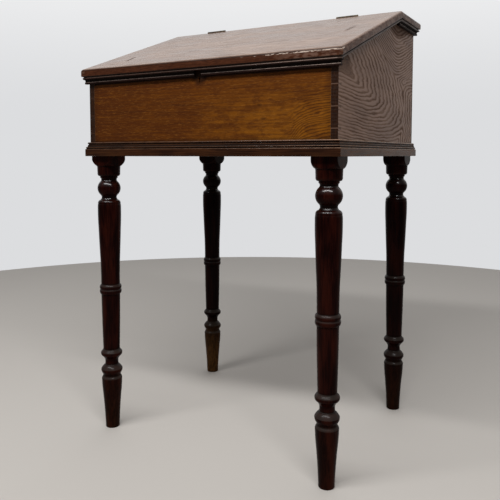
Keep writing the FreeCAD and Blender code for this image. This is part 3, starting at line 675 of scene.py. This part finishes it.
def lid_oak(name):
    """Top boards: faint rings and pores along X, old stains, pale greyed tones that are partly painted sheen,
    two bruises, dark moulded edges, a dark painted band on the front arris, chips to bare wood painted as a
    broken highlight, painted shade from the quirk down, a painted highlight on the bead, and a bare
    underside."""
    finish, place = new_finish(name)
    x, y, z = axes(place)
    wander = (speckle(place, (320 * mm, 60 * mm, 60 * mm), 3) - 0.5) * 70
    ring = ring_lines(y / mm, wander, lid_ring_pitch)
    pore = speckle(place, (13 * mm, 0.8 * mm, 0.8 * mm), 3)
    stain = speckle(place, (160 * mm, 60 * mm, 60 * mm), 3)
    # The top's worn colour, painted pale and greyed as a painted sheen.
    colour = tinted(rise(stain, 0.28, 0.74), tone(112, 88, 75), tone(151, 129, 116))
    colour = tinted(ring * rise(pore, 0.3, 0.55) * 0.5, colour, tone(76, 54, 42))
    colour = tinted(rise(pore, 0.56, 0.72) * 0.3, colour, tone(150, 126, 108))
    gouge_run = y - gouge_y
    gouge = loop_rings((x - gouge_x + gouge_run * gouge_lean) / (4 * mm), gouge_run / (26 * mm))
    gouge = rise(gouge, 1.2, 0.6)
    smudge = rise(loop_rings((x - smudge_x) / (8 * mm), (y - smudge_y) / (36 * mm)), 1.3, 0.3)
    bruise = gouge + smudge * rise(stain + pore, 0.85, 1.05)
    colour = tinted(bruise * 0.8, colour, tone(30, 18, 12))
    fall = above(ridge_y - y) * lid_slope
    depth = (top_z - fall - z) / mm
    edge = rise(depth, *edge_starts)
    across = x.math("ABSOLUTE", x)
    edge_colour = tinted(rise(pore, 0.4, 0.65), tone(52, 25, 12), tone(76, 41, 23))
    patch = speckle(place, (14 * mm, 14 * mm, 6 * mm), 4)
    end_wear = rise(across, side_x, side_x + 6 * mm) * rise(patch, 0.4, 0.62) * 0.8
    edge_colour = tinted(end_wear, edge_colour, tone(86, 66, 54))
    front_wear = rise(x, 0.16, 0.3) * rise(patch, 0.44, 0.6) * 0.55
    edge_colour = tinted(front_wear, edge_colour, tone(116, 90, 77))
    colour = tinted(edge, colour, edge_colour)
    arris = rise(y, lid_front_y + 12 * mm, lid_front_y + 9 * mm)
    # Painted shade: a dark band along the upper roll of the front arris.
    arris_roll_shade = arris * rise(depth, *arris_starts) * rise(depth, *arris_ends) * 0.6
    colour = tinted(arris_roll_shade, colour, tone(34, 19, 12))
    # Chips to bare wood along the front arris, painted bright as a broken highlight, more towards the right.
    chip_highlight_noise = speckle(place, (9 * mm, 3 * mm, 3 * mm), 4) + rise(x, 0.34, 0.12) * 0.12
    chip_highlight_band = rise(depth, *chip_highlight_start) * rise(depth, *chip_highlight_end) * rise(x, 0.1, 0.2)
    colour = tinted(arris * chip_highlight_band * rise(chip_highlight_noise, 0.58, 0.5) * 0.9, colour, tone(206, 188, 174))
    # Painted shade: near black from the quirk downwards.
    colour = tinted(rise(depth, *quirk_shade_starts) * 0.85, colour, tone(20, 7, 4))
    # Painted highlight along the bead, brighter towards the right and fainter at the ends.
    bead_arris = rise(depth, *bead_starts) * rise(depth, *bead_ends)
    at_ends = rise(across, side_x, side_x + 3 * mm)
    bead_highlight = bead_arris * (0.2 + rise(x, 0, 0.36) * 0.5) * (1 - at_ends * 0.7)
    colour = tinted(bead_highlight, colour, tone(166, 140, 126))
    within = rise(across, side_x, side_x - mm) * rise(y, front_y, front_y + mm)
    inner = rise(depth, *underside_starts) * within
    colour = tinted(inner * rise(y, back_y, back_y - mm), colour, bare_oak(place)[0])
    roughness = 0.2 + ring * 0.1 + rise(stain, 0.35, 0.65) * 0.1 + edge * 0.08 + bruise * 0.5 + inner * 0.4
    laid(finish, colour, roughness, pore - ring * 0.4 - gouge * 12, 0.1 * mm, Specular_IOR_Level=0.14)
    return finish


lid_finish = lid_oak("lid_oak")
placed(planed("writing_lid", "lid_panel"), lid_finish, "lid", "oak_lid", "lid_panel")
placed(planed("flat_top", "top_board"), lid_finish, "carcass", "oak_lid", "top_board")
dressed(inner_finish, "lid_batten_left", "lid_batten_right")

# Cove strips: thin oak strips with a fillet and a hollow, planted under the lid's front edge, where they are
# notched at the keyhole and returned at the ends, and under the flat top, mitred at the back. They are
# painted near black as painted shade, with a painted highlight along the fillet's arris.
strip_back_gap = 0.5
strip_lip_out = 11.5
strip_tail = -40
# Near-black tones as painted shade, a pale tone painted on the arrises as highlight, and dullness.
strip_shade_and_highlight = (tone(16, 4, 1), tone(28, 10, 5), tone(212, 188, 174), 0.5)
strip_finishes = {
    "front": moulding_oak("strip_oak_across", fibre_along["front"], *strip_shade_and_highlight),
    "right": moulding_oak("strip_oak_along", fibre_along["right"], *strip_shade_and_highlight),
}


def strip_corners(height):
    """Front of a cove strip from its foot to its head, and the rounding of each corner, in millimetres."""
    return [
        (8.5, 0, 0.3), (8.5, 4.9, 0.9), (7.6, 4.9, 0), (7.6, height - 1.2, 3.5),
        (strip_lip_out, height - 1.2, 0.1), (strip_lip_out, height, 0.1),
    ]


cornice_low, cornice_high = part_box("cornice_right")
cornice_height = (cornice_high.z - cornice_low.z) / mm
cornice_corners = strip_corners(cornice_height) + [(0, cornice_height, 0.1), (0, 0, 0.1)]
cornice_section, cornice_relief = rounded(cornice_corners, corner_steps)
cornice_section[:, 1] += cornice_low.z
mitre = cornice_section[:, 0]
for side, grain in (("back", "front"), ("left", "right"), ("right", "right")):
    ends = (-side_x - mitre, side_x + mitre) if side == "back" else (cornice_low.y, back_y + mitre)
    run = carried(cornice_section, *ends)
    cornice_mesh = skin(f"cove_{side}", along_side(side, *run))
    painted(cornice_mesh, "relief", np.tile(cornice_relief, moulding_stations))
    placed(cornice_mesh, strip_finishes[grain], "carcass", "oak_moulding", f"cornice_{side}")

for hand, x_sign in (("left", -1), ("right", 1)):
    strip_low, strip_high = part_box(f"lid_strip_{hand}")
    notch_x = min(x_sign * strip_low.x, x_sign * strip_high.x)
    crown = (strip_high.z - strip_low.z) / mm
    head = crown - (strip_lip_out - strip_back_gap) * lid_slope
    open_corners = strip_corners(head) + [(strip_tail, head, 0.1), (strip_tail, 0, 0.1)]
    chain, chain_relief = rounded(open_corners, corner_steps)
    chain = chain[:-2 * corner_steps]
    behind = np.stack((np.full(len(chain), strip_back_gap * mm), chain[:, 1]), axis=-1)
    behind[-1, 1] = crown * mm
    strip_section = np.concatenate((chain, behind[::-1])) + (0, strip_low.z)
    outer_x = side_x + np.concatenate((chain[:, 0], chain[::-1, 0]))
    run = carried(strip_section, x_sign * notch_x, x_sign * outer_x)
    strip_mesh = skin(f"cove_lid_{hand}", along_side("front", *run), returned=True)
    strip_relief = np.concatenate((chain_relief[:len(chain)], np.zeros(len(chain))))
    painted(strip_mesh, "relief", np.tile(strip_relief, moulding_stations))
    placed(strip_mesh, strip_finishes["front"], "lid", "oak_moulding", f"lid_strip_{hand}")

# Hinges: two brass butts whose leaves are let into the ridge joint and screwed down, so that only the
# knuckles stand above the boards. The brass has gone dull olive with age.
hinge_parts = ("fixed_leaf", "lid_leaf", "pin")


def aged_metal(name, clean, dull, metallic):
    """Old metal: a clean tone and a dull one in patches, with fine scratches."""
    finish, place = new_finish(name)
    patch = speckle(place, (6 * mm, 4 * mm, 4 * mm), 4)
    scratch = speckle(place, (8 * mm, 0.3 * mm, 0.3 * mm), 2)
    colour = tinted(rise(patch, 0.4, 0.62), clean, dull)
    laid(finish, colour, 0.3 + patch * 0.35, scratch, 0.05 * mm, Metallic=metallic)
    return finish


brass_finish = aged_metal("aged_brass", tone(98, 85, 66), tone(46, 40, 34), 0.8)
for hand in ("left", "right"):
    dressed(brass_finish, *(f"hinge_{hand}_{part}" for part in hinge_parts))
dressed(brass_finish, "hinge_screws_top", "hinge_screws_lid")

# Lock and screws: an iron till lock let in behind the front board, its bolt, the strike in the lid, and
# the plain iron screws that hold them, the battens and the base frame. The iron is dull and a little rusty.
iron_finish = aged_metal("old_iron", tone(70, 66, 62), tone(46, 36, 30), 0.85)
dressed(iron_finish, "lock_case", "lock_bolt", "lock_strike", "lock_screws", "strike_screws")
dressed(iron_finish, "batten_screws", "frame_screws")

# Studio: a plain pale round floor, a soft surround that is bright behind the desk and dim in front of it and
# overhead, and one long soft lamp high in front.
floor_radius = 2.79
floor_points = 240
lamp_place = np.array((0.25, -1.6, 2.75))
lamp_aim = np.array((0, 0, 0.8))
lamp_length, lamp_width = 3.4, 0.16
lamp_power = 86

floor_turn = np.linspace(0, 2 * np.pi, floor_points, endpoint=False)
floor_flat = (np.cos(floor_turn), np.sin(floor_turn), np.zeros(floor_points))
floor_rim = floor_radius * np.stack(floor_flat, axis=-1)
floor_mesh = bpy.data.meshes.new("floor")
floor_mesh.from_pydata(floor_rim.tolist(), [], [list(range(floor_points))])
floor_finish = new_finish("pale_floor")[0]
floor_shader = floor_finish.node_tree.nodes["Principled BSDF"]
floor_shader.inputs["Base Color"].default_value = tone(196, 191, 185)
floor_shader.inputs["Roughness"].default_value = 0.8
floor_mesh.materials.append(floor_finish)
floor = bpy.data.objects.new("floor", floor_mesh)
bpy.context.scene.collection.objects.link(floor)

surround = bpy.data.worlds.new("surround")
surround.use_nodes = True
bpy.context.scene.world = surround
toward = Field(surround.node_tree).node("TexCoord", out="Generated")
right_share, back_share, up_share = axes(toward)
back_tone = tinted(rise(up_share, 0.05, 0.45), tone(220, 221, 223), tone(255, 255, 255))
back_tone = tinted(rise(right_share, -0.05, 0.5), back_tone, tone(177, 171, 166))
surround_tone = tinted(rise(back_share - up_share * 0.45, -0.25, 0.5), tone(122, 122, 122), back_tone)
surround.node_tree.links.new(surround_tone.socket, surround.node_tree.nodes["Background"].inputs["Color"])

lamp = bpy.data.lights.new("strip_lamp", "AREA")
lamp.shape = "RECTANGLE"
lamp.size, lamp.size_y = lamp_length, lamp_width
lamp.energy = lamp_power
lamp_stand = bpy.data.objects.new("strip_lamp", lamp)
lamp_stand.location = lamp_place
lamp_lean = (lamp_place - lamp_aim) / np.linalg.norm(lamp_place - lamp_aim)
lamp_turn = math.atan2(lamp_lean[1], lamp_lean[0]) + math.pi / 2
lamp_stand.rotation_euler = (math.acos(lamp_lean[2]), 0, lamp_turn)
bpy.context.scene.collection.objects.link(lamp_stand)

# Camera: at the photograph's place, about 0.76 m above the floor and to the right of the desk's front,
# looking slightly down, with the frame shifted so that the legs stand nearly upright in it.
camera_place = (0.84923, -1.52774, 0.75679)
camera_tilt = 0.07
camera_turn = 0.5204
camera = bpy.data.cameras.new("camera")
camera.sensor_width = 36
camera.lens = 44.56
camera.shift_y = -0.1044
viewer = bpy.data.objects.new("camera", camera)
viewer.location = camera_place
viewer.rotation_euler = (math.pi / 2 - camera_tilt, 0, camera_turn)
bpy.context.scene.collection.objects.link(viewer)
bpy.context.scene.camera = viewer
bpy.context.scene.view_settings.view_transform = "Standard"
